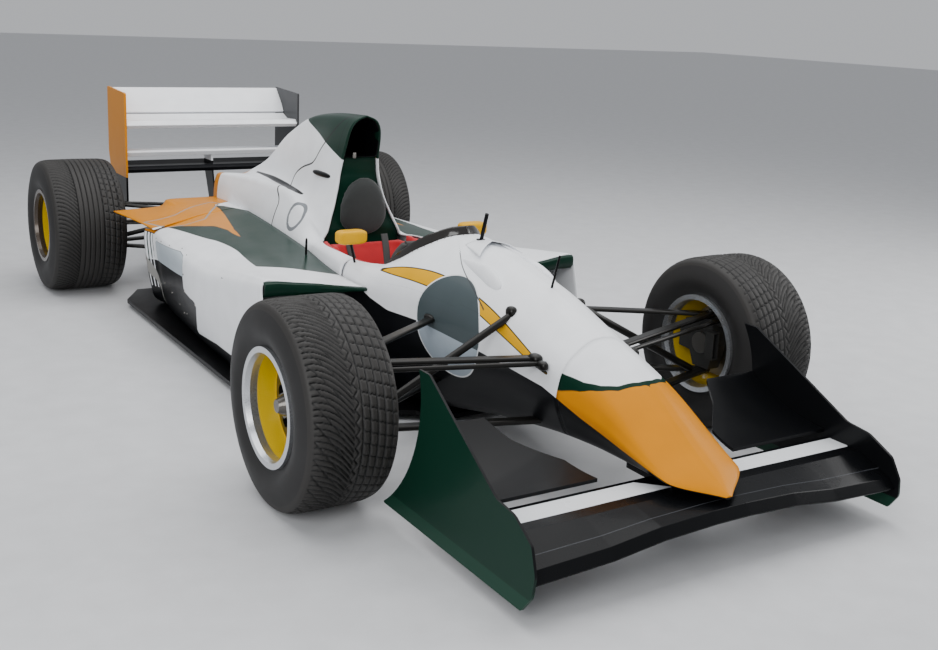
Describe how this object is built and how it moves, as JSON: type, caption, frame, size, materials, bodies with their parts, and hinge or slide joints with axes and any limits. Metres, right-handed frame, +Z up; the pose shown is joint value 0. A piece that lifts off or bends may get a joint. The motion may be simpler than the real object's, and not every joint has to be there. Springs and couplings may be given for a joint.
{
  "type": "open wheel racing car",
  "caption": "Full-size single-seat open wheel racing car with front and rear wings, sidepods, an airbox and grooved wet tyres, that rolls and steers.",
  "frame": {"origin": "on the ground, at the middle of the car's length and width", "axes": "+X to the car's left, -Y towards the nose, +Z up"},
  "size_m": [2, 4.4, 1.038],
  "materials": {
    "white_paint": "gloss",
    "green_paint": "gloss",
    "yellow_paint": "gloss",
    "black_lacquer": "gloss",
    "carbon_weave": "satin",
    "tyre_rubber": "matte",
    "rim_yellow": "gloss",
    "hub_steel": "satin",
    "upright_magnesium": "satin",
    "suspension_steel": "satin",
    "casing_alloy": "satin",
    "seat_fabric": "matte",
    "headrest_foam": "matte",
    "smoked_screen": "gloss",
    "exhaust_steel": "satin",
    "red_lens": "gloss",
    "floor_composite": "satin"
  },
  "bodies": {
    "wheel_front_left": {"tyre_front_left": "tyre_rubber", "rim_front_left": "rim_yellow", "hub_front_left": "hub_steel"},
    "wheel_front_right": {"tyre_front_right": "tyre_rubber", "rim_front_right": "rim_yellow", "hub_front_right": "hub_steel"},
    "wheel_rear_left": {"tyre_rear_left": "tyre_rubber", "rim_rear_left": "rim_yellow", "hub_rear_left": "hub_steel"},
    "wheel_rear_right": {"tyre_rear_right": "tyre_rubber", "rim_rear_right": "rim_yellow", "hub_rear_right": "hub_steel"},
    "knuckle_left": {"knuckle_left": "upright_magnesium"},
    "knuckle_right": {"knuckle_right": "upright_magnesium"},
    "rack": {"steering_rack": "suspension_steel"},
    "steering_wheel": {"steering_wheel": "headrest_foam"},
    "chassis": {"monocoque": "white_paint", "nose_cone": "yellow_paint", "engine_cover": "white_paint", "windscreen": "smoked_screen", "front_wing": "black_lacquer", "front_flaps": "black_lacquer", "front_endplates": "green_paint", "sidepod_left": "white_paint", "sidepod_right": "white_paint", "radiators": "casing_alloy", "floor": "floor_composite", "diffuser": "carbon_weave", "engine": "casing_alloy", "gearbox": "casing_alloy", "exhausts": "exhaust_steel", "rear_structure": "carbon_weave", "rain_light": "red_lens", "front_upper_wishbones": "suspension_steel", "front_lower_wishbones": "suspension_steel", "front_pushrods": "suspension_steel", "rear_wishbones": "suspension_steel", "rear_links": "suspension_steel", "rear_uprights": "upright_magnesium", "rear_wing": "white_paint", "beam_wing": "white_paint", "rear_endplates": "yellow_paint", "dashboard": "carbon_weave", "seat": "seat_fabric", "cockpit_padding": "seat_fabric", "hoop_panel": "green_paint", "headrest": "headrest_foam", "airbox": "black_lacquer", "mirrors": "yellow_paint", "aerials": "black_lacquer"}
  },
  "joints": [
    {"name": "steer_left", "type": "hinge", "parent": "chassis", "child": "knuckle_left", "pos_m": [0.77, -1.25, 0.32], "axis": [0, 0, 1], "range_deg": [-14, 14]},
    {"name": "steer_right", "type": "hinge", "parent": "chassis", "child": "knuckle_right", "pos_m": [-0.77, -1.25, 0.32], "axis": [0, 0, 1], "range_deg": [-14, 14]},
    {"name": "rack_slide", "type": "slide", "parent": "chassis", "child": "rack", "axis": [1, 0, 0], "range_m": [-0.02, 0.02]},
    {"name": "column_turn", "type": "hinge", "parent": "chassis", "child": "steering_wheel", "pos_m": [0, -0.42, 0.5], "axis": [0, 0.9563, 0.2924], "range_deg": [-126, 126]},
    {"name": "spin_front_left", "type": "hinge", "parent": "knuckle_left", "child": "wheel_front_left", "pos_m": [0.8475, -1.25, 0.32], "axis": [1, 0, 0], "continuous": true},
    {"name": "spin_front_right", "type": "hinge", "parent": "knuckle_right", "child": "wheel_front_right", "pos_m": [-0.8475, -1.25, 0.32], "axis": [1, 0, 0], "continuous": true},
    {"name": "spin_rear_left", "type": "hinge", "parent": "chassis", "child": "wheel_rear_left", "pos_m": [0.809, 1.7, 0.33], "axis": [1, 0, 0], "continuous": true},
    {"name": "spin_rear_right", "type": "hinge", "parent": "chassis", "child": "wheel_rear_right", "pos_m": [-0.809, 1.7, 0.33], "axis": [1, 0, 0], "continuous": true}
  ],
  "couplings": [
    {"joint": "steer_right", "follows": "steer_left", "ratio": 1},
    {"joint": "rack_slide", "follows": "steer_left", "m_per_rad": 0.0644},
    {"joint": "column_turn", "follows": "steer_left", "ratio": 9}
  ]
}
